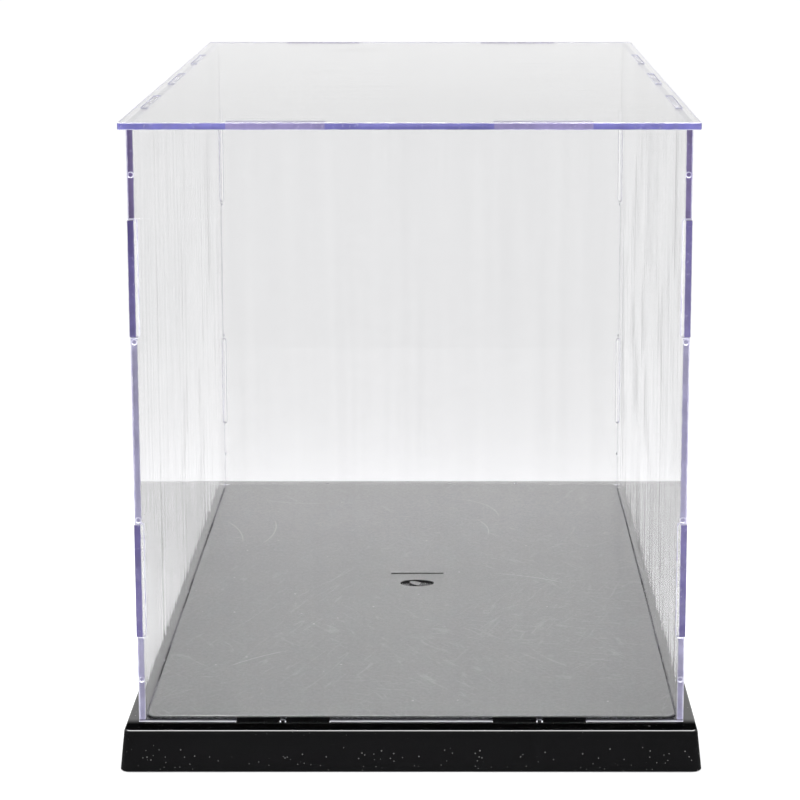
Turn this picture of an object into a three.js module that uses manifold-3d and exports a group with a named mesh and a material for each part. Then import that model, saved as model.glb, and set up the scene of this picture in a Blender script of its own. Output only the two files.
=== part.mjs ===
// Football display case: a clear press-fit acrylic cover that stands on a black moulded plinth.
//
// Millimetres, +Z up, front towards -Y, right towards +X. The origin is the centre of the
// plinth's footprint, on the surface that the case stands on.
//
// The cover is five flat sheets. The four walls interlock at the corners with square fingers,
// and tabs on their top and bottom edges drop into slots in the top sheet and in the plinth.

import * as THREE from 'three';
import { mergeVertices } from 'three/addons/utils/BufferGeometryUtils.js';
import Module from 'manifold-3d';

const wasm = await Module();
wasm.setup();

// Acrylic cover
const SHEET = 3; // thickness of all five sheets
const SHEET_ARRIS = 0.25; // chamfer between the sheets' faces and edges
const CASE_WIDTH = 236; // over the outside of the left and right walls
const CASE_DEPTH = 330; // over the outside of the front and rear walls
const WALL_HEIGHT = 258.8; // wall sheets without their tabs
const TOP_OVERHANG = 2.8; // top sheet beyond the walls, on all sides
const TOP_CORNER_RADIUS = 1;

// Plinth
const PLINTH_HEIGHT = 18; // up to the flange that carries the walls
const RIM_SIDE_MARGIN = 5.2; // flange beyond the left and right walls
const RIM_END_MARGIN = 8.2; // flange beyond the front and rear walls
const RIM_RADIUS = 1.1; // rounding of the flange's upper edge
const RIM_CORNER_RADIUS = 2.5; // in plan
const SKIRT_FLARE = 1.8; // how far the skirt's foot stands out beyond the rim
const WALL_THICKNESS = 2.5; // moulded skin of skirt, flange and platform
const PLATFORM_RISE = 1.6; // raised floor inside the walls
const PLATFORM_END_GAP = 1; // between the platform and the front and rear walls
const PLATFORM_SIDE_GAP = 0.4; // between the platform and the left and right walls
const PLATFORM_CORNER_RADIUS = 4;
const PLATFORM_EDGE_RADIUS = 0.4;
const RIB_THICKNESS = 1.6;
const RIB_FOOT = 6; // underside of the ribs above the ground

// Joints
const FIT_GAP = 0.3; // total play of a tab or finger in its slot or notch
const SEAT_GAP = 0.1; // air under and over the wall sheets
const TAB_LENGTH = 41;
const TAB_HEIGHT = SHEET;
const END_TAB_OFFSET = 55.5; // front and rear walls: one tab on each side of the middle
const SIDE_TAB_PITCH = 88; // left and right walls: three tabs
const SIDE_TAB_CENTRE = -11; // the middle one of the three, towards the front
const NOTCH_LOW = 38.3; // lower corner notch, from here above the walls' foot
const NOTCH_HIGH = 88.5; // to here; the upper notch mirrors it
const NOTCH_RELIEF = 1; // front and rear notches are this much deeper than a sheet
const NOTCH_RADIUS = 1.2;
const FINGER_SETBACK = 0.4; // front and rear fingers stop short of the side walls' faces

// Small conical grip dimples, pressed into the middle of the tabs and fingers
const DIMPLE_RADIUS = 1.4;
const DIMPLE_FLOOR_RADIUS = 0.9;
const DIMPLE_DEPTH = 0.5;
const DIMPLE_END_DISTANCE = 2; // on the long middle finger, from each of its ends

// Injection gate in the middle of the floor: a square left slightly low by its tool insert, and
// in it an oval recess with the snapped-off sprue
const GATE_WIDTH = 17.4;
const GATE_LENGTH = 9.4; // front to rear
const GATE_DEPTH = 1.2;
const GATE_SQUARE = 27.2;
const GATE_SQUARE_DEPTH = 0.35;
const STUB_WIDTH = 8.2;
const STUB_LENGTH = 4.6;
const STUB_THICKNESS = 1.3;
const STUB_LEAN = 0.13; // radians, down towards the right
const STUB_TURN = -0.35;

const CURVE_SEGMENTS = 6;
const ROUND_SEGMENTS = 14;

const wallFoot = PLINTH_HEIGHT + SEAT_GAP;
const topSheetFoot = wallFoot + WALL_HEIGHT + SEAT_GAP;
const floorLevel = PLINTH_HEIGHT + PLATFORM_RISE;
const platformWidth = CASE_WIDTH - 2 * (SHEET + PLATFORM_SIDE_GAP);
const platformDepth = CASE_DEPTH - 2 * (SHEET + PLATFORM_END_GAP);
const endTabs = [-END_TAB_OFFSET, END_TAB_OFFSET];
const sideTabs = [-1, 0, 1].map((step) => SIDE_TAB_CENTRE + step * SIDE_TAB_PITCH);

// Solids

function solid(geometry) {
  const bare = geometry.clone();
  bare.deleteAttribute('normal');
  bare.deleteAttribute('uv');
  const merged = mergeVertices(bare, 1e-5);
  return new wasm.Manifold(
    new wasm.Mesh({
      numProp: 3,
      vertProperties: new Float32Array(merged.attributes.position.array),
      triVerts: new Uint32Array(merged.index.array),
    }),
  );
}

function geometryOf(manifold) {
  const mesh = manifold.getMesh();
  const geometry = new THREE.BufferGeometry();
  geometry.setAttribute('position', new THREE.BufferAttribute(mesh.vertProperties, 3));
  geometry.setIndex(new THREE.BufferAttribute(mesh.triVerts, 1));
  geometry.computeVertexNormals();
  return geometry;
}

function box(width, depth, height, x, y, z) {
  return solid(new THREE.BoxGeometry(width, depth, height).translate(x, y, z));
}

function joined(solids) {
  return solids.reduce((whole, piece) => whole.add(piece));
}

// Outlines

function roundedRectangle(width, depth, radius) {
  const x = width / 2 - radius;
  const y = depth / 2 - radius;
  const shape = new THREE.Shape();
  shape.absarc(x, -y, radius, -Math.PI / 2, 0);
  shape.absarc(x, y, radius, 0, Math.PI / 2);
  shape.absarc(-x, y, radius, Math.PI / 2, Math.PI);
  shape.absarc(-x, -y, radius, Math.PI, 1.5 * Math.PI);
  shape.closePath();
  return shape;
}

// A closed outline through the corners; a corner that states a radius is rounded off.
function shapeThrough(corners) {
  const shape = new THREE.Shape();
  corners.forEach(({ x, y, radius = 0 }, index) => {
    const corner = new THREE.Vector2(x, y);
    const before = corners[(index + corners.length - 1) % corners.length];
    const after = corners[(index + 1) % corners.length];
    const towards = ({ x: endX, y: endY }) =>
      new THREE.Vector2(endX, endY).sub(corner).setLength(radius).add(corner);
    const start = radius > 0 ? towards(before) : corner;
    if (index === 0) shape.moveTo(start.x, start.y);
    else shape.lineTo(start.x, start.y);
    if (radius > 0) {
      const end = towards(after);
      shape.quadraticCurveTo(corner.x, corner.y, end.x, end.y);
    }
  });
  shape.closePath();
  return shape;
}

// A level sheet cut to an outline, with chamfered arrises
function cutSheet(outline, foot) {
  const geometry = new THREE.ExtrudeGeometry(outline, {
    depth: SHEET - 2 * SHEET_ARRIS,
    bevelThickness: SHEET_ARRIS,
    bevelSize: SHEET_ARRIS,
    bevelOffset: -SHEET_ARRIS,
    bevelSegments: 1,
    curveSegments: CURVE_SEGMENTS,
  });
  return solid(geometry.translate(0, 0, foot + SHEET_ARRIS));
}

// Wall sheets, drawn flat: x along the wall, y up from its foot, outer face at z = SHEET

function tabCorners(centres, root, tip) {
  return centres.flatMap((centre) => [
    { x: centre - TAB_LENGTH / 2, y: root },
    { x: centre - TAB_LENGTH / 2, y: tip },
    { x: centre + TAB_LENGTH / 2, y: tip },
    { x: centre + TAB_LENGTH / 2, y: root },
  ]);
}

// fingerReach is the half length of the sheet where the front and rear walls own the corner,
// notchReach is the half length where the side walls own it.
function wallOutline({ fingerReach, notchReach, notchGrowth, notchRadius, tabs }) {
  const spans = [
    [NOTCH_LOW, NOTCH_HIGH],
    [WALL_HEIGHT - NOTCH_HIGH, WALL_HEIGHT - NOTCH_LOW],
  ];
  const rightEdge = [
    { x: fingerReach, y: 0 },
    ...spans.flatMap(([low, high]) => [
      { x: fingerReach, y: low - notchGrowth },
      { x: notchReach, y: low - notchGrowth, radius: notchRadius },
      { x: notchReach, y: high + notchGrowth, radius: notchRadius },
      { x: fingerReach, y: high + notchGrowth },
    ]),
    { x: fingerReach, y: WALL_HEIGHT },
  ];
  const leftEdge = rightEdge.map(({ x, ...rest }) => ({ x: -x, ...rest })).reverse();
  const bottomTabs = tabCorners(tabs, 0, -TAB_HEIGHT);
  const topTabs = tabCorners(tabs, WALL_HEIGHT, WALL_HEIGHT + TAB_HEIGHT).reverse();
  return shapeThrough([...bottomTabs, ...rightEdge, ...topTabs, ...leftEdge]);
}

// The cone runs on above the sheet's outer face by as much as it goes in below it.
function dimple(x, y) {
  const mouth = 2 * DIMPLE_RADIUS - DIMPLE_FLOOR_RADIUS;
  const cutter = new THREE.CylinderGeometry(
    mouth,
    DIMPLE_FLOOR_RADIUS,
    2 * DIMPLE_DEPTH,
    ROUND_SEGMENTS,
  );
  return solid(cutter.rotateX(Math.PI / 2).translate(x, y, SHEET));
}

function wallSheet(outline, dimples) {
  const tabDimples = outline.tabs.flatMap((x) => [
    dimple(x, 0),
    dimple(x, WALL_HEIGHT + TAB_HEIGHT / 2),
  ]);
  const sheet = cutSheet(wallOutline(outline), 0);
  return geometryOf(sheet.subtract(joined([...tabDimples, ...dimples])));
}

// Stands a flat sheet up as the front wall, then turns it about the case's centre line.
function standUp(geometry, distance, turn) {
  geometry.rotateX(Math.PI / 2);
  geometry.translate(0, SHEET - distance, wallFoot);
  geometry.rotateZ(turn);
  return geometry;
}

function fingerDimples() {
  const fingerMiddle = CASE_WIDTH / 2 - FINGER_SETBACK - DIMPLE_RADIUS - 0.2;
  const lowerHeights = [NOTCH_LOW / 2, NOTCH_HIGH + DIMPLE_END_DISTANCE];
  const heights = lowerHeights.flatMap((height) => [height, WALL_HEIGHT - height]);
  return heights.flatMap((height) => [
    dimple(-fingerMiddle, height),
    dimple(fingerMiddle, height),
  ]);
}

function endWall(turn) {
  const outline = {
    fingerReach: CASE_WIDTH / 2 - FINGER_SETBACK,
    notchReach: CASE_WIDTH / 2 - SHEET - NOTCH_RELIEF,
    notchGrowth: FIT_GAP / 2,
    notchRadius: NOTCH_RADIUS,
    tabs: endTabs,
  };
  return standUp(wallSheet(outline, fingerDimples()), CASE_DEPTH / 2, turn);
}

function sideWall(turn) {
  const outline = {
    fingerReach: CASE_DEPTH / 2 - SHEET - FIT_GAP / 2,
    notchReach: CASE_DEPTH / 2,
    notchGrowth: -FIT_GAP / 2,
    notchRadius: 0,
    tabs: turn > 0 ? sideTabs : sideTabs.map((y) => -y).reverse(),
  };
  return standUp(wallSheet(outline, []), CASE_WIDTH / 2, turn);
}

// Places of the tab slots, shared by the top sheet and the plinth

function slotPlaces() {
  const long = TAB_LENGTH + FIT_GAP;
  const thin = SHEET + FIT_GAP;
  const endLine = (CASE_DEPTH - SHEET) / 2;
  const sideLine = (CASE_WIDTH - SHEET) / 2;
  const places = [];
  for (const side of [-1, 1]) {
    endTabs.forEach((x) => places.push({ width: long, depth: thin, x, y: side * endLine }));
    sideTabs.forEach((y) => places.push({ width: thin, depth: long, x: side * sideLine, y }));
  }
  return places;
}

function tabSlots(level, height) {
  return joined(
    slotPlaces().map(({ width, depth, x, y }) => box(width, depth, height, x, y, level)),
  );
}

function topSheet() {
  const outline = roundedRectangle(
    CASE_WIDTH + 2 * TOP_OVERHANG,
    CASE_DEPTH + 2 * TOP_OVERHANG,
    TOP_CORNER_RADIUS,
  );
  const sheet = cutSheet(outline, topSheetFoot);
  return geometryOf(sheet.subtract(tabSlots(topSheetFoot, 4 * SHEET)));
}

// Plinth

// A solid through the plinth's plan outline, offset outwards by a different amount at each
// level. Levels run upwards.
function loftedPlinth(levels) {
  const rings = levels.map(({ z, offset }) => {
    const outline = roundedRectangle(
      CASE_WIDTH + 2 * (RIM_SIDE_MARGIN + offset),
      CASE_DEPTH + 2 * (RIM_END_MARGIN + offset),
      Math.max(RIM_CORNER_RADIUS + offset, 0.5),
    );
    return { z, points: outline.extractPoints(CURVE_SEGMENTS).shape };
  });
  const count = rings[0].points.length;
  const positions = rings.flatMap(({ z, points }) => points.flatMap(({ x, y }) => [x, y, z]));
  const indices = [];
  for (let level = 0; level + 1 < rings.length; level += 1) {
    for (let i = 0; i < count; i += 1) {
      const a = level * count + i;
      const b = level * count + ((i + 1) % count);
      indices.push(a, b, b + count, a, b + count, a + count);
    }
  }
  const cap = THREE.ShapeUtils.triangulateShape(rings[0].points, []);
  const topStart = (rings.length - 1) * count;
  cap.forEach(([a, b, c]) => indices.push(a, c, b, topStart + a, topStart + b, topStart + c));
  const geometry = new THREE.BufferGeometry();
  geometry.setAttribute('position', new THREE.Float32BufferAttribute(positions, 3));
  geometry.setIndex(indices);
  return solid(geometry);
}

function skirtFlareAt(z) {
  return SKIRT_FLARE * (1 - z / (PLINTH_HEIGHT - RIM_RADIUS));
}

function plinthOutside() {
  const levels = [{ z: 0, offset: skirtFlareAt(0) }];
  for (let step = 0; step <= CURVE_SEGMENTS; step += 1) {
    const angle = (step / CURVE_SEGMENTS) * (Math.PI / 2);
    levels.push({
      z: PLINTH_HEIGHT - RIM_RADIUS * (1 - Math.sin(angle)),
      offset: -RIM_RADIUS * (1 - Math.cos(angle)),
    });
  }
  return loftedPlinth(levels);
}

function platform() {
  const shape = roundedRectangle(platformWidth, platformDepth, PLATFORM_CORNER_RADIUS);
  const geometry = new THREE.ExtrudeGeometry(shape, {
    depth: PLATFORM_RISE,
    bevelThickness: PLATFORM_EDGE_RADIUS,
    bevelSize: PLATFORM_EDGE_RADIUS,
    bevelOffset: -PLATFORM_EDGE_RADIUS,
    bevelSegments: 3,
    curveSegments: CURVE_SEGMENTS,
  });
  return solid(geometry.translate(0, 0, PLINTH_HEIGHT - PLATFORM_EDGE_RADIUS));
}

function plinthHollow() {
  const below = -1;
  const flangeUnderside = PLINTH_HEIGHT - WALL_THICKNESS;
  const main = loftedPlinth([
    { z: below, offset: skirtFlareAt(below) - WALL_THICKNESS },
    { z: flangeUnderside, offset: skirtFlareAt(flangeUnderside) - WALL_THICKNESS },
  ]);
  const underFloor = box(
    platformWidth - 2 * WALL_THICKNESS,
    platformDepth - 2 * WALL_THICKNESS,
    floorLevel - WALL_THICKNESS,
    0,
    0,
    (floorLevel - WALL_THICKNESS) / 2,
  );
  return main.add(underFloor);
}

// Stiffening ribs, clear of the tab slots, up to the given level inside the skin
function ribGrid(width, depth, top) {
  const height = top - RIB_FOOT;
  const middle = RIB_FOOT + height / 2;
  const outerLine = END_TAB_OFFSET + 0.75 * TAB_LENGTH;
  const lengthwise = [-outerLine, 0, outerLine].map((x) =>
    box(RIB_THICKNESS, depth, height, x, 0, middle),
  );
  const crosswise = [-0.5, 0.5].map((step) =>
    box(width, RIB_THICKNESS, height, 0, SIDE_TAB_CENTRE + step * SIDE_TAB_PITCH, middle),
  );
  return joined([...lengthwise, ...crosswise]);
}

function ribs() {
  const underFlange = ribGrid(
    CASE_WIDTH + 2 * RIM_SIDE_MARGIN - WALL_THICKNESS,
    CASE_DEPTH + 2 * RIM_END_MARGIN - WALL_THICKNESS,
    PLINTH_HEIGHT - WALL_THICKNESS / 2,
  );
  const underFloor = ribGrid(
    platformWidth - WALL_THICKNESS,
    platformDepth - WALL_THICKNESS,
    floorLevel - WALL_THICKNESS / 2,
  );
  return underFlange.add(underFloor);
}

// An upright oval column, centred on the origin
function oval(width, length, height) {
  const column = new THREE.CylinderGeometry(0.5, 0.5, height, 2 * ROUND_SEGMENTS);
  return column.rotateX(Math.PI / 2).scale(width, length, 1);
}

function gateRecess() {
  return solid(oval(GATE_WIDTH, GATE_LENGTH, 2 * GATE_DEPTH).translate(0, 0, floorLevel));
}

function gateSquare() {
  return box(GATE_SQUARE, GATE_SQUARE, 2 * GATE_SQUARE_DEPTH, 0, 0, floorLevel);
}

function gateStub() {
  const stub = oval(STUB_WIDTH, STUB_LENGTH, STUB_THICKNESS).rotateY(STUB_LEAN).rotateZ(STUB_TURN);
  return solid(stub.translate(0, 0, floorLevel - GATE_DEPTH));
}

function plinth() {
  const shell = plinthOutside().add(platform()).subtract(plinthHollow());
  const body = shell.add(ribs()).subtract(tabSlots(PLINTH_HEIGHT, 4 * WALL_THICKNESS));
  return geometryOf(body.subtract(gateRecess()).subtract(gateSquare()).add(gateStub()));
}

// Assembly

const clearAcrylic = {
  color: 0xf2f0fa,
  roughness: 0.04,
  metalness: 0,
  transparent: true,
  opacity: 0.3,
};
const blackPlastic = { color: 0x0b0b0d, roughness: 0.12, metalness: 0 };

const displayCase = new THREE.Group();

function place(name, geometry, finish) {
  const mesh = new THREE.Mesh(geometry, new THREE.MeshStandardMaterial(finish));
  mesh.name = name;
  displayCase.add(mesh);
}

place('base', plinth(), blackPlastic);
place('front_panel', endWall(0), clearAcrylic);
place('rear_panel', endWall(Math.PI), clearAcrylic);
place('left_panel', sideWall(-Math.PI / 2), clearAcrylic);
place('right_panel', sideWall(Math.PI / 2), clearAcrylic);
place('top_panel', topSheet(), clearAcrylic);

export default displayCase;
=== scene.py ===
import math

import bpy
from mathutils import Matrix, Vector


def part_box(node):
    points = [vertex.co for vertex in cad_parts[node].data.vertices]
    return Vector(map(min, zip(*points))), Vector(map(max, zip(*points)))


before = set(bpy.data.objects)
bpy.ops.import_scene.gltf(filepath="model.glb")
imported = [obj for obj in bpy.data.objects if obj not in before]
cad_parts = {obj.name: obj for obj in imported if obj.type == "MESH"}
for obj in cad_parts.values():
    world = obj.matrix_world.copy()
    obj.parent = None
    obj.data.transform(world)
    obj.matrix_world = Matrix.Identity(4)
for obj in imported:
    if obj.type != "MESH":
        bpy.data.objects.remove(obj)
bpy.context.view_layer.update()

scene = bpy.context.scene

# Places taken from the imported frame
base_low, base_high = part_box("base")
front_low, front_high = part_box("front_panel")
lid_low, lid_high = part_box("top_panel")
floor_level = base_high.z
end_wall_face = -front_low.y
front_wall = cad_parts["front_panel"].data.vertices
tab_places = [abs(corner.co.x) for corner in front_wall if corner.co.z > lid_low.z]
tab_start, tab_end = min(tab_places), max(tab_places)

# The plinth's flange, on which the walls stand, is lower than its raised floor
FLANGE_LEVEL = 0.018

# Sheet nodes, each with the direction its broad faces point in
SHEETS = {
    "front_panel": (0, 1, 0),
    "rear_panel": (0, 1, 0),
    "left_panel": (1, 0, 0),
    "right_panel": (1, 0, 0),
    "top_panel": (0, 0, 1),
}
ARRIS_FACING = 0.95  # a face that turns further from the broad direction is arris or edge
EDGE_FACING = 0.5  # and one that turns further than this is edge
SQUARE_ON = 0.7  # an edge face points along an axis if its normal has more than this of it

# Materials
BLACK = (0, 0, 0, 1)
WHITE = (1, 1, 1, 1)
ACRYLIC_IOR = 1.49
PLASTIC_IOR = 1.5
GLOSS_BLACK = ((0.002, 0.002, 0.0025, 1), (0.005, 0.005, 0.0055, 1))
SATIN_GREY = ((0.05, 0.05, 0.048, 1), (0.075, 0.075, 0.072, 1))
SATIN_ROUGHNESS = 0.42
FLOOR_PAINTED_LIGHT_GAIN = 1.55  # painted light: the raised floor is made paler towards the rear wall
WORN_GREY = (0.62, 0.62, 0.6, 1)
CLEAR_SHEET = ((0.945, 0.945, 0.95, 1), (0.915, 0.915, 0.92, 1))
SHEET_SHADOW = (0.9, 0.9, 0.91, 1)
DUST_GREY = (0.75, 0.75, 0.76, 1)
EDGE_CLOUD = (0.5, 0.48, 0.68, 1)
EDGE_CLEAR = (0.8, 0.78, 0.95, 1)
EDGE_LIT_FOOT = (0.9, 0.9, 1.0, 1)
# Wall edge tints, each pair high then low: painted shade high up, painted light lower down; the
# rear, up and down tints are painted light and shade
WALL_EDGE_PROUD = ((0.11, 0.088, 0.26, 1), (0.13, 0.11, 0.275, 1))
WALL_EDGE_SET_BACK = ((0.2, 0.15, 0.33, 1), (0.47, 0.45, 0.62, 1))
WALL_EDGE_SHADED_REAR = (0.13, 0.13, 0.15, 1)
WALL_EDGE_LIT_UP = (0.44, 0.44, 0.45, 1)
WALL_EDGE_SHADED_DOWN = (0.09, 0.085, 0.12, 1)
LID_EDGE = (0.165, 0.16, 0.45, 1)
# Painted light on the lid's edge in front of the tabs, and a painted highlight at the slot ends
LID_EDGE_LIT_AT_TAB = (0.27, 0.24, 0.43, 1)
LID_SLOT_END_HIGHLIGHT = (0.5, 0.5, 0.55, 1)
# Painted highlight on the chamfers, brightest at the foot; painted shade at the rear, and dark at
# the inner foot and dimples
ARRIS = ((0.9, 0.9, 0.96, 1), (0.55, 0.52, 0.75, 1))
ARRIS_HIGHLIGHT_AT_FOOT = (0.95, 0.95, 1.0, 1)
ARRIS_SHADED_AT_REAR = (0.5, 0.5, 0.52, 1)
ARRIS_PAINTED_SHADE = (0.05, 0.05, 0.06, 1)

# Widths of bands on the sheets and the plinth
LIT_FOOT = 0.0014  # outermost strip under the front and rear walls, where a painted glow shows light coming out
SET_BACK = 0.0025  # an edge this far behind the face of an end wall belongs to a side wall
ARRIS_BAND = 0.0004  # just over the 0.25 mm of the chamfer
REAR_BAND = 0.005  # the rear wall, with the ends of the sheets that meet it
FLANGE_SHADE_BAND = 0.004  # how far the painted shade on the strip of flange fades out behind the front wall's face
DIMPLE_LEVEL = 0.025  # under this, a locking dimple is one of those at the foot

# Camera, in the photograph's place: low in front of the case, with a rising lens shift
CAMERA_PLACE = Vector((0.0164, -1.0076, 0.3972))
CAMERA_PITCH = math.radians(8.35)
CAMERA_LENS = 92.5
CAMERA_SHIFT = (-0.0614, -0.3283)

# Studio light, as radiance
BACKDROP = 1.03  # white sky, seen directly or through the sheets
DOME = 1.1  # white sky that lights matt surfaces
TABLE_WHITE = 0.93  # the table's reflectance
TABLE_PAINTED_GLOW = 3.3  # painted pool of light on the table, as emission, brightest under the middle of the case
GLOW_REACH = 0.11  # over which it falls to 37 percent

# What mirror images see, again as radiance
REAR_HORIZON = 0.87
REAR_LOW = 0.73
REAR_SKY = 1.3
FRONT_SKY = 0.9
OVERHEAD = 26.0  # ring of softboxes high up
SHADE_IN_FRONT = 0.12  # sky ahead near the horizon, and the share left of the table's light

# Light paths
MAX_BOUNCES = 24
TRANSMISSION_BOUNCES = 20
GLOSSY_BOUNCES = 10


class Nodes:
    """Short calls for building one node tree."""

    def __init__(self, tree):
        self.tree = tree
        tree.nodes.clear()

    def feed(self, socket, value):
        if isinstance(value, bpy.types.NodeSocket):
            self.tree.links.new(value, socket)
        else:
            socket.default_value = value

    def add(self, kind, inputs=None, **settings):
        node = self.tree.nodes.new(kind)
        for name, value in settings.items():
            setattr(node, name, value)
        for key, value in (inputs or {}).items():
            self.feed(node.inputs[key], value)
        return node

    def math(self, operation, a, b=0.0, clamp=False):
        node = self.add("ShaderNodeMath", {0: a, 1: b}, operation=operation, use_clamp=clamp)
        return node.outputs[0]

    def times(self, a, b):
        return self.math("MULTIPLY", a, b)

    def absolute(self, value):
        return self.math("ABSOLUTE", value)

    def vector(self, operation, a, b=(0, 0, 0)):
        node = self.add("ShaderNodeVectorMath", {0: a, 1: b}, operation=operation)
        return node.outputs["Value" if operation in ("DOT_PRODUCT", "LENGTH") else "Vector"]

    def step(self, value, low, high, at_low=0.0, at_high=1.0):
        """A smooth step from at_low to at_high as value goes from low to high."""
        inputs = {
            "Value": value,
            "From Min": low,
            "From Max": high,
            "To Min": at_low,
            "To Max": at_high,
        }
        node = self.add("ShaderNodeMapRange", inputs, interpolation_type="SMOOTHSTEP")
        return node.outputs["Result"]

    def colour(self, factor, a, b, blend="MIX"):
        node = self.add("ShaderNodeMix", data_type="RGBA", blend_type=blend)
        self.feed(node.inputs["Factor"], factor)
        self.feed(node.inputs[6], a)
        self.feed(node.inputs[7], b)
        return node.outputs[2]

    def shaded(self, colour, value):
        """The colour, multiplied by a grey value."""
        return self.colour(1.0, colour, self.grey(value), "MULTIPLY")

    def value(self, factor, a, b):
        node = self.add("ShaderNodeMix", {"Factor": factor, 2: a, 3: b}, data_type="FLOAT")
        return node.outputs[0]

    def grey(self, value):
        return self.add("ShaderNodeCombineColor", {0: value, 1: value, 2: value}).outputs[0]

    def place(self):
        return self.add("ShaderNodeNewGeometry").outputs["Position"]

    def facing(self):
        return self.split(self.add("ShaderNodeNewGeometry").outputs["True Normal"])

    def light_path(self):
        return self.add("ShaderNodeLightPath").outputs

    def joined(self, x, y, z=0.0):
        return self.add("ShaderNodeCombineXYZ", {0: x, 1: y, 2: z}).outputs[0]

    def split(self, vector):
        return self.add("ShaderNodeSeparateXYZ", {0: vector}).outputs

    def mapped(self, vector, scale, turn=(0, 0, 0), shift=(0, 0, 0)):
        inputs = {"Vector": vector, "Scale": scale, "Rotation": turn, "Location": shift}
        return self.add("ShaderNodeMapping", inputs).outputs[0]

    def noise(self, vector, scale, detail=2.0, roughness=0.5):
        inputs = {"Vector": vector, "Scale": scale, "Detail": detail, "Roughness": roughness}
        return self.add("ShaderNodeTexNoise", inputs).outputs["Fac"]

    def cells(self, vector, scale):
        return self.add("ShaderNodeTexVoronoi", {"Vector": vector, "Scale": scale}).outputs

    def mix_shader(self, factor, a, b):
        return self.add("ShaderNodeMixShader", {0: factor, 1: a, 2: b}).outputs[0]

    def diffuse(self, colour):
        return self.add("ShaderNodeBsdfDiffuse", {"Color": colour}).outputs[0]

    def principled(self, inputs):
        return self.add("ShaderNodeBsdfPrincipled", inputs).outputs[0]

    def bump(self, height, strength, distance, normal=None):
        inputs = {"Height": height, "Strength": strength, "Distance": distance}
        if normal is not None:
            inputs["Normal"] = normal
        return self.add("ShaderNodeBump", inputs).outputs[0]

    def surface(self, shader):
        self.add("ShaderNodeOutputMaterial", {"Surface": shader})


def new_material(name):
    material = bpy.data.materials.new(name)
    material.use_nodes = True
    return material, Nodes(material.node_tree)


# Wear that all surfaces share


def specks(n, place, spacing, size, share):
    """Round dust specks: at most one in each cell of the given spacing, in a share of the cells."""
    cells = n.cells(place, 1 / spacing)
    picked = n.split(cells["Color"])
    radius = n.times(picked[1], size / spacing)
    inside = n.math("LESS_THAN", cells["Distance"], radius)
    return n.times(inside, n.math("LESS_THAN", picked[0], share))


def hairlines(n, place, turn, length, spacing, width):
    """Fine scratches along one direction, gently bent, in patches: the zero lines of a stretched
    noise, broken up by another noise. The noise is turned first and stretched after, since a
    mapping scales before it turns."""
    bend = n.noise(place, 9.0, 1.0)
    bent = n.vector("ADD", place, n.vector("MULTIPLY", bend, (0.012, 0.012, 0.012)))
    turned = n.mapped(bent, (1, 1, 1), (0, 0, turn), (turn, turn, turn))
    along = n.vector("MULTIPLY", turned, (1 / length, 1 / spacing, 1 / length))
    off_line = n.absolute(n.math("SUBTRACT", n.noise(along, 1.0, 0.0), 0.5))
    lines = n.step(off_line, width / spacing, 0.0)
    breaks = n.step(n.noise(n.mapped(along, (2, 1, 2)), 1.0, 1.0), 0.52, 0.6)
    patches = n.step(n.noise(n.mapped(place, (14, 14, 14), (0, 0, turn)), 1.0, 1.0), 0.54, 0.62)
    return n.times(lines, n.times(breaks, patches))


def arc_scratch(n, place, centre, radius, heading, spread):
    """One hair-thin curved scratch on the floor: a short piece of a circle."""
    x, y, _ = n.split(n.vector("SUBTRACT", place, (centre[0], centre[1], 0)))
    distance = n.vector("LENGTH", n.joined(x, y))
    off_line = n.absolute(n.math("SUBTRACT", distance, radius))
    turned = n.absolute(n.math("SUBTRACT", n.math("ARCTAN2", y, x), heading))
    line = n.step(off_line, 0.0005, 0.0001)
    return n.times(line, n.step(turned, spread, spread * 0.5))


# Materials


def floor_marks(n, place):
    """Handling marks on the raised floor: arcs, and fine scratches that cross each other."""
    spacing, width = 0.004, 0.0002
    marks = hairlines(n, place, 0.9, 0.03, spacing, width)
    for turn, length in ((-0.6, 0.02), (2.0, 0.04), (0.2, 0.025)):
        marks = n.math("MAXIMUM", marks, hairlines(n, place, turn, length, spacing, width))
    marks = n.times(marks, 0.25)
    # Centre, radius, heading of the middle of the arc, and its half spread
    arcs = (
        ((0.012, 0.103), 0.032, 0.6, 0.75),
        ((0.004, 0.078), 0.034, 0.2, 0.45),
        ((-0.135, 0.082), 0.056, -0.1, 0.4),
        ((-0.155, 0.058), 0.06, 0.35, 0.35),
        ((-0.06, 0.2), 0.075, -1.75, 0.3),
        ((0.02, -0.09), 0.105, 1.2, 0.22),
        ((-0.02, -0.17), 0.09, 2.2, 0.2),
    )
    for arc in arcs:
        marks = n.math("MAXIMUM", marks, n.times(arc_scratch(n, place, *arc), 0.65))
    return marks


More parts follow.
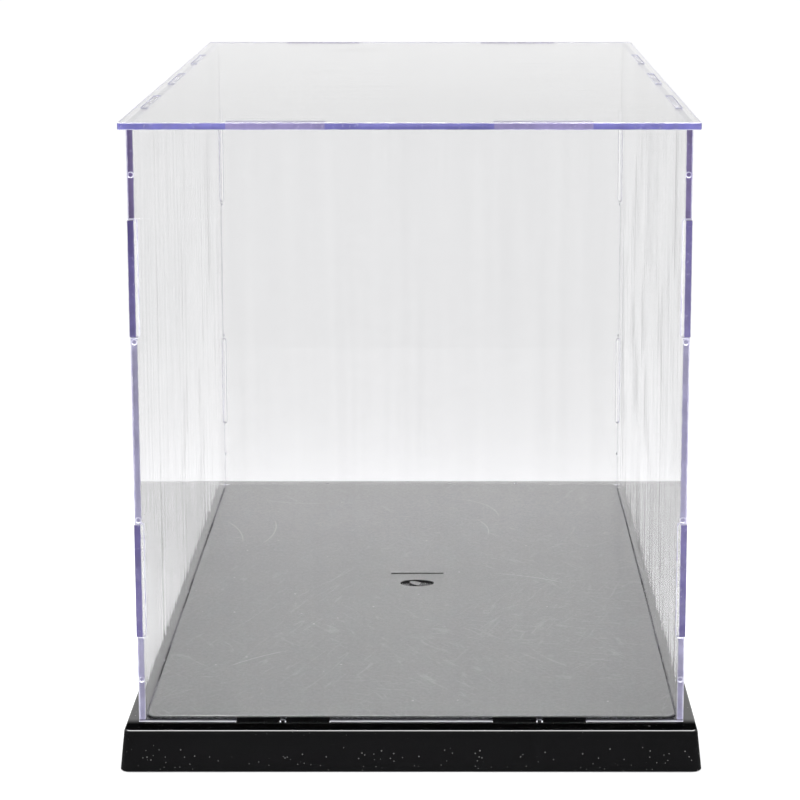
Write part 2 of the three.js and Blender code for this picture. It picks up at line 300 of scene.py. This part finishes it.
def black_plastic():
    """Glossy black moulding with dust on it. The raised floor, and the flange at the rear, have a
    grey satin haze under the gloss. The floor also has handling scratches. The strip of flange in
    front of the cover carries painted shade: it is dull and nearly black."""
    material, n = new_material("black_plastic_moulded")
    place = n.place()
    _, depth, level = n.split(place)
    on_floor = n.step(level, floor_level - 0.0009, floor_level - 0.0006)
    on_flange = n.step(level, FLANGE_LEVEL - 0.0003, FLANGE_LEVEL - 0.0001)
    at_rear = n.step(depth, end_wall_face - 0.012, end_wall_face - 0.002)
    satin = n.math("MAXIMUM", on_floor, n.times(at_rear, on_flange))
    # Painted shade: the strip of flange in front of the front wall becomes a dull, nearly black
    # diffuse
    in_front = n.step(depth, FLANGE_SHADE_BAND - end_wall_face, -0.002 - end_wall_face)
    flange_shade_strip = n.times(in_front, on_flange)
    fine_dust = n.times(specks(n, place, 0.002, 0.0003, 0.9), 0.4)
    dust = n.math("ADD", specks(n, place, 0.008, 0.0006, 0.9), fine_dust)
    dust = n.times(dust, n.value(on_floor, 0.9, 0.3))
    marks = n.times(floor_marks(n, place), n.times(on_floor, 0.3))
    worn = n.math("MAXIMUM", marks, dust, clamp=True)
    haze = n.noise(place, 26.0, 4.0, 0.6)
    grain = n.noise(place, 700.0, 3.0, 0.7)
    black = n.colour(haze, *GLOSS_BLACK)
    grey = n.shaded(n.colour(haze, *SATIN_GREY), n.step(grain, 0.3, 0.7, 0.8, 1.2))
    # Painted light: the raised floor's grey grows paler towards the rear wall
    grey = n.shaded(grey, n.step(depth, 0.0, end_wall_face, 1.0, FLOOR_PAINTED_LIGHT_GAIN))
    colour = n.colour(satin, black, grey)
    colour = n.colour(n.times(worn, 0.8), colour, WORN_GREY)
    polish = n.step(haze, 0.3, 0.75, 0.04, 0.08)
    roughness = n.value(satin, polish, SATIN_ROUGHNESS)
    roughness = n.math("ADD", roughness, n.times(worn, 0.35))
    swell = n.noise(place, 60.0, 1.0)
    normal = n.bump(grain, 1.0, 0.000006)
    normal = n.bump(swell, 0.06, 0.002, normal)
    plastic = n.principled(
        {
            "Base Color": colour,
            "Roughness": roughness,
            "IOR": PLASTIC_IOR,
            "Coat Weight": satin,
            "Coat Roughness": polish,
            "Normal": normal,
            "Coat Normal": normal,
        }
    )
    # Painted shade on the front strip of flange, in place of its gloss
    flange_shade_shader = n.diffuse(n.colour(0.8, colour, BLACK))
    n.surface(n.mix_shader(n.times(flange_shade_strip, 0.985), plastic, flange_shade_shader))
    return material


def clear_acrylic():
    """The broad faces of the sheets: clear and polished, with faint streaks, ripples and dust. The
    side walls carry painted shade where they are seen at a glancing angle, more of it high up."""
    material, n = new_material("clear_acrylic_sheet")
    place = n.place()
    facing = n.facing()
    on_side = n.math("GREATER_THAN", n.absolute(facing[0]), 0.5)
    on_lid = n.math("GREATER_THAN", n.absolute(facing[2]), 0.5)
    across_streaks = n.value(on_lid, 160.0, 7.0)
    stretched = n.vector("MULTIPLY", place, n.joined(across_streaks, 160.0, 5.0))
    streaks = n.noise(stretched, 1.0, 3.0, 0.6)
    clouds = n.noise(place, 7.0, 2.0)
    tint = n.times(n.step(streaks, 0.3, 0.75), n.value(on_side, 0.8, 0.25))
    colour = n.colour(tint, *CLEAR_SHEET)
    # Painted shade: the side walls darken where seen at a glancing angle, more of it high up
    glancing = n.step(n.add("ShaderNodeLayerWeight", {"Blend": 0.5}).outputs["Facing"], 0.6, 0.85)
    painted_side_shade = n.times(glancing, n.step(n.split(place)[2], 0.08, 0.22, 0.1, 0.27))
    colour = n.colour(n.times(on_side, painted_side_shade), colour, BLACK)
    ripple = n.bump(n.noise(place, 18.0, 1.0), n.value(on_lid, 0.02, 0.008), 0.004)
    ripple = n.bump(n.noise(stretched, 1.0, 1.0), n.value(on_side, 0.15, 0.6), 0.00004, ripple)
    glass = n.principled(
        {
            "Base Color": colour,
            "Roughness": n.step(clouds, 0.55, 0.8, 0.0, 0.002),
            "IOR": ACRYLIC_IOR,
            "Transmission Weight": 1.0,
            "Normal": ripple,
        }
    )
    dust = n.times(specks(n, place, 0.013, 0.0004, 0.3), 0.5)
    sheet_face = n.mix_shader(dust, glass, n.diffuse(DUST_GREY))
    path = n.light_path()
    lets_light = n.math("MAXIMUM", path["Is Shadow Ray"], path["Is Diffuse Ray"])
    pane = n.add("ShaderNodeBsdfTransparent", {"Color": SHEET_SHADOW}).outputs[0]
    n.surface(n.mix_shader(lets_light, sheet_face, pane))
    return material


def violet_edge(name, tint):
    """A cut and polished edge, violet, with a painted glow (emission) for the light that the sheet
    carries to it. Under the front and rear walls, the outermost strip of the foot shines brightest,
    as a painted highlight."""
    material, n = new_material(name)
    place = n.place()
    bands = n.noise(n.mapped(place, (70, 70, 70)), 1.0, 3.0, 0.65)
    fine = n.noise(n.mapped(place, (600, 600, 600)), 1.0, 2.0)
    colour = n.shaded(tint(n), n.step(bands, 0.3, 0.7, 0.85, 1.2))
    colour = n.colour(n.step(fine, 0.58, 0.8, 0.0, 0.3), colour, EDGE_CLOUD)
    _, depth, _ = n.split(place)
    foot = n.math("LESS_THAN", n.facing()[2], -SQUARE_ON)
    outer = n.math("GREATER_THAN", n.absolute(depth), end_wall_face - LIT_FOOT)
    lit_foot = n.times(foot, outer)
    colour = n.colour(lit_foot, colour, EDGE_LIT_FOOT)
    edge = n.principled(
        {
            "Base Color": colour,
            "Roughness": n.step(fine, 0.3, 0.8, 0.12, 0.3),
            # With a real index, the foot would mirror the sheet above it
            "IOR": n.value(foot, ACRYLIC_IOR, 1.0),
            # Painted glow: the edge emits its own colour, most of all at the lit foot
            "Emission Color": colour,
            "Emission Strength": n.value(lit_foot, 0.2, 0.75),
            "Normal": n.bump(fine, 0.15, 0.0002),
        }
    )
    clear_inputs = {"Color": EDGE_CLEAR, "Roughness": 0.02, "IOR": ACRYLIC_IOR}
    clear = n.add("ShaderNodeBsdfGlass", clear_inputs).outputs[0]
    n.surface(n.mix_shader(0.25, edge, clear))
    return material


def wall_tint(n):
    """Wall edges: violet, deeper high up, where painted shade darkens them. Where they are set back
    behind the face of an end wall, painted light makes them paler at the front and painted shade
    darker at the rear. Edges that face up are a painted lit grey, and those that face down are
    painted dark as shade."""
    _, depth, level = n.split(n.place())
    # Painted shade high up and painted light lower down
    lit_lower = n.step(level, front_high.z * 0.84, front_high.z * 0.67)
    proud = n.colour(lit_lower, *WALL_EDGE_PROUD)
    behind = n.colour(lit_lower, *WALL_EDGE_SET_BACK)
    shaded_rear_end = n.colour(0.7, behind, WALL_EDGE_SHADED_REAR)
    behind = n.colour(n.math("GREATER_THAN", depth, 0.0), behind, shaded_rear_end)
    reach = end_wall_face - SET_BACK
    set_back = n.step(n.absolute(depth), reach, reach + 0.0015, 1.0, 0.0)
    tint = n.colour(set_back, proud, behind)
    # Painted light on edges that face up, painted shade on those that face down
    facing = n.facing()[2]
    tint = n.colour(n.math("GREATER_THAN", facing, SQUARE_ON), tint, WALL_EDGE_LIT_UP)
    return n.colour(n.math("LESS_THAN", facing, -SQUARE_ON), tint, WALL_EDGE_SHADED_DOWN)


def lid_tint(n):
    """Edges of the top sheet: blue violet, with painted light that makes them paler in front of the
    tabs, and a painted highlight that makes them pale in the slots on the walls that face left or
    right."""
    width, depth, _ = n.split(n.place())
    across = n.absolute(width)
    after = n.math("GREATER_THAN", across, tab_start)
    before = n.math("LESS_THAN", across, tab_end)
    tint = n.colour(n.times(after, before), LID_EDGE, LID_EDGE_LIT_AT_TAB)
    inside = n.math("LESS_THAN", across, lid_high.x - 0.001)
    faces_aside = n.math("GREATER_THAN", n.absolute(n.facing()[0]), SQUARE_ON)
    return n.colour(n.times(inside, faces_aside), tint, LID_SLOT_END_HIGHLIGHT)


def painted_arris_light():
    """The fine chamfer between a sheet's face and its edge, with a painted highlight (pale colour
    and emission), most of all along the outer foot of the front and rear walls. Painted shade makes
    it duller around the rear wall, and nearly dark along the inner foot and around the locking
    dimples down by the foot."""
    material, n = new_material("acrylic_arris_painted_light")
    place = n.place()
    across, depth, level = n.split(place)
    foot = FLANGE_LEVEL + ARRIS_BAND
    face = end_wall_face - ARRIS_BAND
    low = n.step(level, foot + 0.0002, foot)
    outside = n.step(n.absolute(depth), face - 0.0002, face)
    at_foot = n.times(low, outside)
    inner_foot = n.math("SUBTRACT", low, at_foot)
    off_corner = n.math("LESS_THAN", n.absolute(across), 0.1)
    dimple = n.times(off_corner, n.step(level, DIMPLE_LEVEL + 0.005, DIMPLE_LEVEL, 0.0, 0.75))
    arris_shade = n.math("MAXIMUM", inner_foot, n.math("SUBTRACT", dimple, low))
    rear_band = end_wall_face - REAR_BAND
    at_rear = n.step(depth, rear_band - 0.001, rear_band)
    chips = n.step(n.noise(place, 260.0, 2.0), 0.35, 0.7)
    colour = n.colour(chips, *ARRIS)
    colour = n.colour(at_foot, colour, ARRIS_HIGHLIGHT_AT_FOOT)
    colour = n.colour(at_rear, colour, ARRIS_SHADED_AT_REAR)
    colour = n.colour(arris_shade, colour, ARRIS_PAINTED_SHADE)
    arris = n.principled(
        {
            "Base Color": colour,
            "Roughness": 0.15,
            "IOR": ACRYLIC_IOR,
            "Transmission Weight": 0.6,
            # Painted highlight: the chamfer emits its own colour, most of all at the outer foot
            "Emission Color": colour,
            "Emission Strength": n.value(at_foot, 0.3, 0.95),
        }
    )
    n.surface(arris)
    return material


# Finer surface on the CAD nodes, by modifiers only


def new_group(name):
    """An empty geometry node group, with the nodes' builder and the incoming shape."""
    group = bpy.data.node_groups.new(name, "GeometryNodeTree")
    group.interface.new_socket("Geometry", in_out="INPUT", socket_type="NodeSocketGeometry")
    group.interface.new_socket("Geometry", in_out="OUTPUT", socket_type="NodeSocketGeometry")
    n = Nodes(group)
    return group, n, n.add("NodeGroupInput").outputs[0]


def bare_group():
    """Drops the imported normals."""
    group, n, shape = new_group("own_normals")
    bare = {"Geometry": shape, "Name": "custom_normal"}
    n.add("NodeGroupOutput", {0: n.add("GeometryNodeRemoveAttribute", bare).outputs[0]})
    return group


def smooth_group(sharpest):
    """Smooth shading, apart from edges that bend by more than the given angle."""
    group, n, shape = new_group("smooth_by_angle")
    bend = n.add("GeometryNodeInputMeshEdgeAngle").outputs[0]
    for domain, smooth in (("FACE", True), ("EDGE", n.math("LESS_THAN", bend, sharpest))):
        shading = {"Geometry": shape, "Shade Smooth": smooth}
        shape = n.add("GeometryNodeSetShadeSmooth", shading, domain=domain).outputs[0]
    n.add("NodeGroupOutput", {0: shape})
    return group


def sheet_group(name, broad, edge, arris):
    """Gives the edge and the chamfered arris of a sheet their own materials."""
    group, n, shape = new_group(name)
    facing = n.vector("DOT_PRODUCT", n.add("GeometryNodeInputNormal").outputs[0], broad)
    facing = n.absolute(facing)
    for limit, material in ((ARRIS_FACING, arris), (EDGE_FACING, edge)):
        chosen = n.math("LESS_THAN", facing, limit)
        paint = {"Geometry": shape, "Selection": chosen, "Material": material}
        shape = n.add("GeometryNodeSetMaterial", paint).outputs[0]
    n.add("NodeGroupOutput", {0: shape})
    return group


def add_group(node, group):
    node.modifiers.new(group.name, "NODES").node_group = group


def weld(node):
    add_group(node, bare_group())
    node.modifiers.new("weld", "WELD").merge_threshold = 2e-6


def set_slots(node, materials):
    node.data.materials.clear()
    for material in materials:
        node.data.materials.append(material)


def finish_plinth():
    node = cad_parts["base"]
    set_slots(node, [black_plastic()])
    weld(node)
    whole = node.modifiers.new("whole_faces", "DECIMATE")
    whole.decimate_type = "DISSOLVE"
    whole.angle_limit = math.radians(1)
    add_group(node, smooth_group(math.radians(35)))
    node.modifiers.new("even_normals", "WEIGHTED_NORMAL").keep_sharp = True


def finish_sheets():
    face = clear_acrylic()
    arris = painted_arris_light()
    wall_edge = violet_edge("acrylic_wall_edge", wall_tint)
    lid_edge = violet_edge("acrylic_lid_edge", lid_tint)
    for name, broad in SHEETS.items():
        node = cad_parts[name]
        edge = lid_edge if name == "top_panel" else wall_edge
        set_slots(node, [face, edge, arris])
        weld(node)
        add_group(node, sheet_group(name + "_edges", broad, edge, arris))


# Studio


def rise(degrees):
    """Height of a direction of length 1 that rises from the horizon by an angle."""
    return math.sin(math.radians(degrees))


def studio_world():
    """White backdrop for what is seen directly or through the sheets, and a dome that lights matt
    surfaces. Mirror images see another sky: a ring of softboxes high up, open at the zenith, a
    front that is dark near the horizon, and a rear that is darkest about 9 degrees over it."""
    world = bpy.data.worlds.new("studio")
    world.use_nodes = True
    scene.world = world
    n = Nodes(world.node_tree)
    _, depth, height = n.split(n.add("ShaderNodeTexCoord").outputs["Generated"])
    rearward = n.step(depth, -0.4, 0.6)
    rising = n.step(height, rise(9), rise(18))
    low = n.step(height, rise(5.2), rise(8.4), REAR_HORIZON, REAR_LOW)
    horizon = n.step(height, 0.0, rise(5.2), 1.0, 0.0)
    rear = n.value(rising, low, REAR_SKY)
    rear = n.value(horizon, rear, BACKDROP)
    level = n.value(rearward, FRONT_SKY, rear)
    ahead = n.step(depth, -0.95, -0.7, 1.0, 0.0)
    near_horizon = n.step(height, rise(3), rise(20), 1.0, 0.0)
    level = n.value(n.times(ahead, near_horizon), level, SHADE_IN_FRONT)
    ring = n.times(n.step(height, 0.68, 0.86), n.step(height, 0.96, 0.985, 1.0, 0.0))
    mirrored = n.value(ring, level, OVERHEAD)
    path = n.light_path()
    is_mirrored = n.math("GREATER_THAN", path["Glossy Depth"], 0.5)
    is_diffuse = n.math("GREATER_THAN", path["Diffuse Depth"], 0.5)
    strength = n.value(is_mirrored, BACKDROP, mirrored)
    strength = n.value(is_diffuse, strength, DOME)
    background = n.add("ShaderNodeBackground", {"Color": WHITE, "Strength": strength})
    n.add("ShaderNodeOutputWorld", {"Surface": background.outputs[0]})


def table_material():
    """White table with a painted pool of light around the case, an emission brightest under it. In
    mirror images, a wedge of it ahead of the case lies in painted shade, and so does what the skirt
    mirrors from close by."""
    material, n = new_material("studio_table")
    place = n.place()
    grain = n.noise(place, 40.0, 3.0)
    white = n.step(grain, 0.2, 0.8, TABLE_WHITE - 0.01, TABLE_WHITE + 0.01)
    across, depth, _ = n.split(place)
    ahead = n.step(depth, base_low.y, base_low.y + 0.13, 1.0, 0.0)
    aside = n.math("SUBTRACT", n.absolute(across), n.times(n.absolute(depth), 0.3))
    wedge = n.times(ahead, n.step(aside, 0.8, 1.6, 1.0, 0.0))
    shade = n.value(wedge, 1.0, SHADE_IN_FRONT)
    path = n.light_path()
    is_mirrored = n.math("GREATER_THAN", path["Glossy Depth"], 0.5)
    at_skirt = n.step(path["Ray Length"], 0.02, 0.07, SHADE_IN_FRONT, 1.0)
    shade = n.value(is_mirrored, 1.0, n.math("MINIMUM", shade, at_skirt))
    paint = n.diffuse(n.grey(n.times(white, shade)))
    # Painted pool of light: the table glows around the case, falling off with distance
    away = n.vector("LENGTH", n.vector("MULTIPLY", place, (1, 1.15, 0)))
    painted_glow = n.math("EXPONENT", n.math("DIVIDE", away, -GLOW_REACH))
    painted_glow = n.times(n.times(painted_glow, TABLE_PAINTED_GLOW), shade)
    painted_pool = n.add("ShaderNodeEmission", {"Color": WHITE, "Strength": painted_glow}).outputs[0]
    n.surface(n.add("ShaderNodeAddShader", {0: paint, 1: painted_pool}).outputs[0])
    return material


def studio_table():
    """A square sheet of table, just below the foot so that the two don't share a surface."""
    reach = 30.0
    below = -0.0003
    signs = ((-1, -1), (1, -1), (1, 1), (-1, 1))
    corners = [(x * reach, y * reach, below) for x, y in signs]
    mesh = bpy.data.meshes.new("studio_table")
    mesh.from_pydata(corners, [], [(0, 1, 2, 3)])
    mesh.materials.append(table_material())
    table = bpy.data.objects.new("studio_table", mesh)
    scene.collection.objects.link(table)


def fill_light():
    """A weak soft lamp high over the case."""
    light = bpy.data.lights.new("overhead_fill", "AREA")
    light.size = 0.8
    light.energy = 1.0
    lamp = bpy.data.objects.new("overhead_fill", light)
    lamp.location = (0.0, 0.0, 2.0)
    lamp.visible_glossy = False
    scene.collection.objects.link(lamp)


def only_in_place(camera, prop, value):
    """Gives the camera its lens shift only where it stands now, since other views are centred."""
    driver = camera.data.driver_add(prop).driver
    driver.type = "SCRIPTED"
    variable = driver.variables.new()
    variable.name = "y"
    variable.type = "SINGLE_PROP"
    variable.targets[0].id = camera
    variable.targets[0].data_path = "location.y"
    driver.expression = f"{value} if abs(y - {camera.location.y:.6f}) < 0.001 else 0"


def studio_camera():
    data = bpy.data.cameras.new("camera")
    data.lens = CAMERA_LENS
    data.clip_start = 0.01
    data.clip_end = 100.0
    camera = bpy.data.objects.new("camera", data)
    camera.location = CAMERA_PLACE
    camera.rotation_euler = (math.pi / 2 - CAMERA_PITCH, 0, 0)
    scene.collection.objects.link(camera)
    only_in_place(camera, "shift_x", CAMERA_SHIFT[0])
    only_in_place(camera, "shift_y", CAMERA_SHIFT[1])
    scene.camera = camera


def light_paths():
    scene.view_settings.view_transform = "Standard"
    scene.cycles.max_bounces = MAX_BOUNCES
    scene.cycles.transmission_bounces = TRANSMISSION_BOUNCES
    scene.cycles.glossy_bounces = GLOSSY_BOUNCES
    scene.cycles.transparent_max_bounces = MAX_BOUNCES


finish_plinth()
finish_sheets()
studio_world()
studio_table()
fill_light()
studio_camera()
light_paths()
